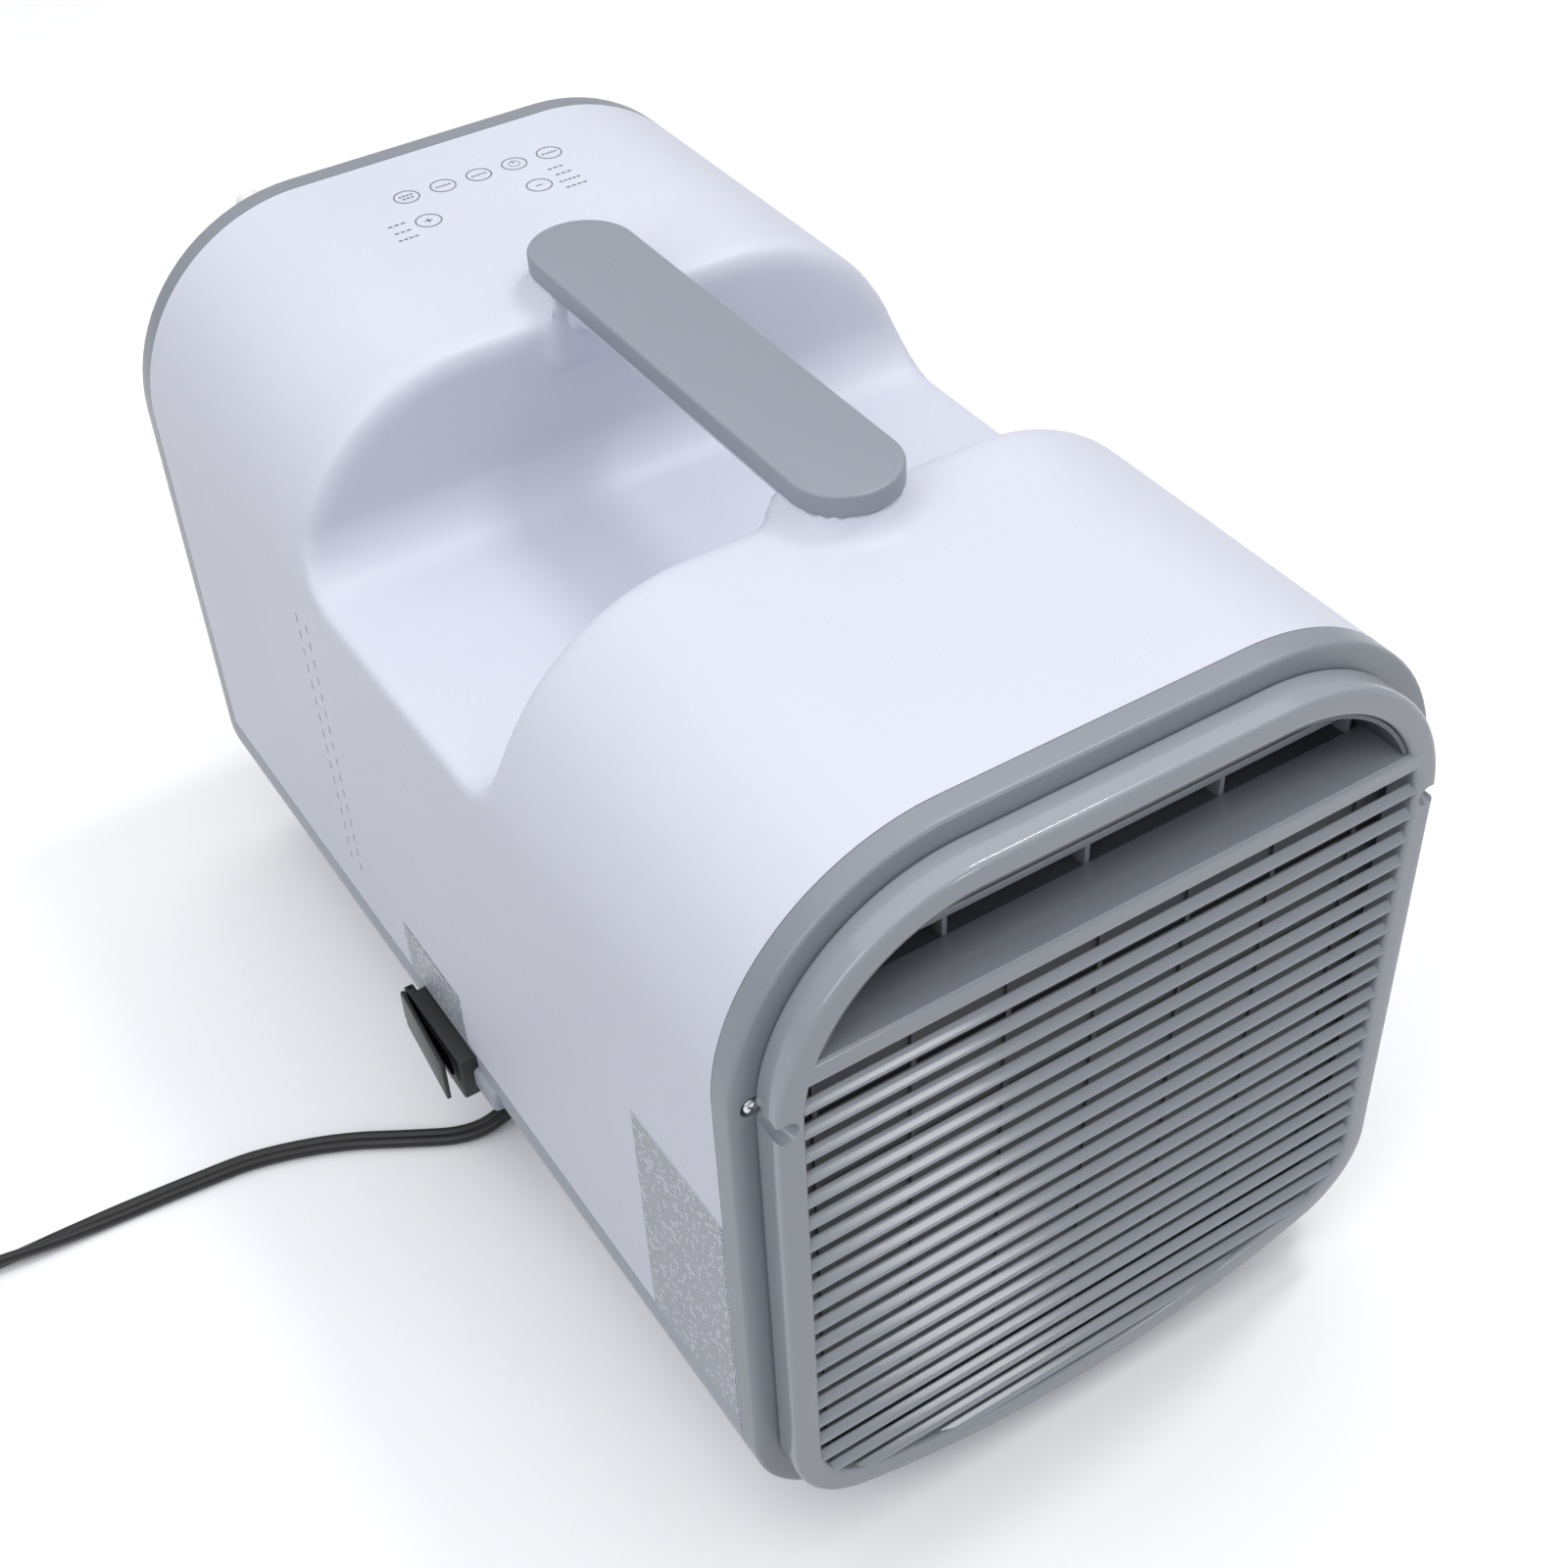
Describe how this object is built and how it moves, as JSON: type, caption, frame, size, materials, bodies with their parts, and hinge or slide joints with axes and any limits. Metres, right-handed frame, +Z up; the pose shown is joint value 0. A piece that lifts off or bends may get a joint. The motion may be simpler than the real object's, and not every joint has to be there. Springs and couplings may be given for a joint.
{
  "type": "portable air conditioner",
  "caption": "Small battery-powered portable air conditioner: white cased box with a hand space and grip bridge, louvred front, air outlet, rear exhaust collar, side power inlet and cord.",
  "frame": {"origin": "centre of the base on the surface it stands on, measured without the free cord", "axes": "+Z up, -Y towards the louvred front, +X towards the side without the power inlet"},
  "size_m": [0.615, 0.539, 0.3587],
  "materials": {
    "shell_plastic": "matt white moulded ABS, faint cool tint",
    "tray_plastic": "satin mid-grey moulded ABS",
    "panel_plastic": "glossy mid-grey moulded ABS",
    "duct_plastic": "dark grey moulded plastic",
    "steel": "bright plated screw and shaft steel",
    "filter_mesh": "dark nylon net in a frame",
    "grip_plastic": "satin cool grey moulded ABS",
    "board": "green solder-masked circuit board",
    "label_film": "silver-grey polyester label",
    "socket_plastic": "black moulded nylon",
    "brass": "turned brass",
    "cord_pvc": "black satin PVC",
    "foot_rubber": "black moulded rubber",
    "galvanised": "zinc-plated sheet steel",
    "black_enamel": "black stove enamel on steel",
    "fin_aluminium": "plain aluminium fins",
    "copper": "drawn copper tube",
    "foam": "white expanded foam board",
    "hose_vinyl": "milky vinyl"
  },
  "bodies": {
    "case": {"shell": "shell_plastic", "base_tray": "tray_plastic", "front_ring": "panel_plastic", "rear_ring": "panel_plastic", "front_panel": "panel_plastic", "outlet_duct": "duct_plastic", "panel_screws": "steel", "air_filter": "filter_mesh", "handle_grip": "grip_plastic", "handle_screws": "steel", "touch_board": "board", "rating_label": "label_film", "voltage_label": "label_film", "inlet_socket": "socket_plastic", "inlet_contacts": "brass", "flap_pin": "steel", "inlet_harness": "cord_pvc", "feet": "foot_rubber", "base_screws": "steel", "chassis_plate": "galvanised", "compressor": "black_enamel", "compressor_mounts": "foot_rubber", "compressor_bolts": "steel", "accumulator": "black_enamel", "accumulator_bracket": "galvanised", "evaporator_coil": "fin_aluminium", "condenser_coil": "fin_aluminium", "filter_drier": "copper", "expansion_valve": "brass", "suction_pipe": "copper", "discharge_pipe": "copper", "liquid_pipe": "copper", "condenser_motor": "galvanised", "motor_bracket": "galvanised", "fan_shroud": "duct_plastic", "blower_motor": "galvanised", "blower_bush": "brass", "blower_scroll": "duct_plastic", "bulkhead": "foam", "drain_pan": "duct_plastic", "drain_pump": "duct_plastic", "drain_hose": "hose_vinyl", "drain_spout": "hose_vinyl", "control_box": "galvanised", "main_board": "board", "rear_panel": "panel_plastic", "exhaust_collar": "panel_plastic", "collar_screws": "steel", "cord_gland": "foot_rubber", "power_cord": "cord_pvc", "cord_coil": "cord_pvc", "cord_tail": "cord_pvc", "cord_tie": "foot_rubber", "battery_connector": "socket_plastic"},
    "flap": {"inlet_flap": "socket_plastic"},
    "condenser_fan_rotor": {"condenser_fan": "duct_plastic", "condenser_shaft": "steel"},
    "blower_rotor": {"blower_wheel": "duct_plastic", "blower_shaft": "steel"}
  },
  "joints": [
    {"name": "flap_hinge", "type": "hinge", "parent": "case", "child": "flap", "pos_m": [-0.14347, 0.0191, 0.06523], "axis": [0, 0, -1], "range_deg": [-5, 95]},
    {"name": "condenser_fan_spin", "type": "hinge", "parent": "case", "child": "condenser_fan_rotor", "pos_m": [0.00733, 0.1665, 0.15], "axis": [0, 1, 0], "continuous": true},
    {"name": "blower_spin", "type": "hinge", "parent": "case", "child": "blower_rotor", "pos_m": [0.00733, -0.1675, 0.28423], "axis": [1, 0, 0], "continuous": true}
  ]
}
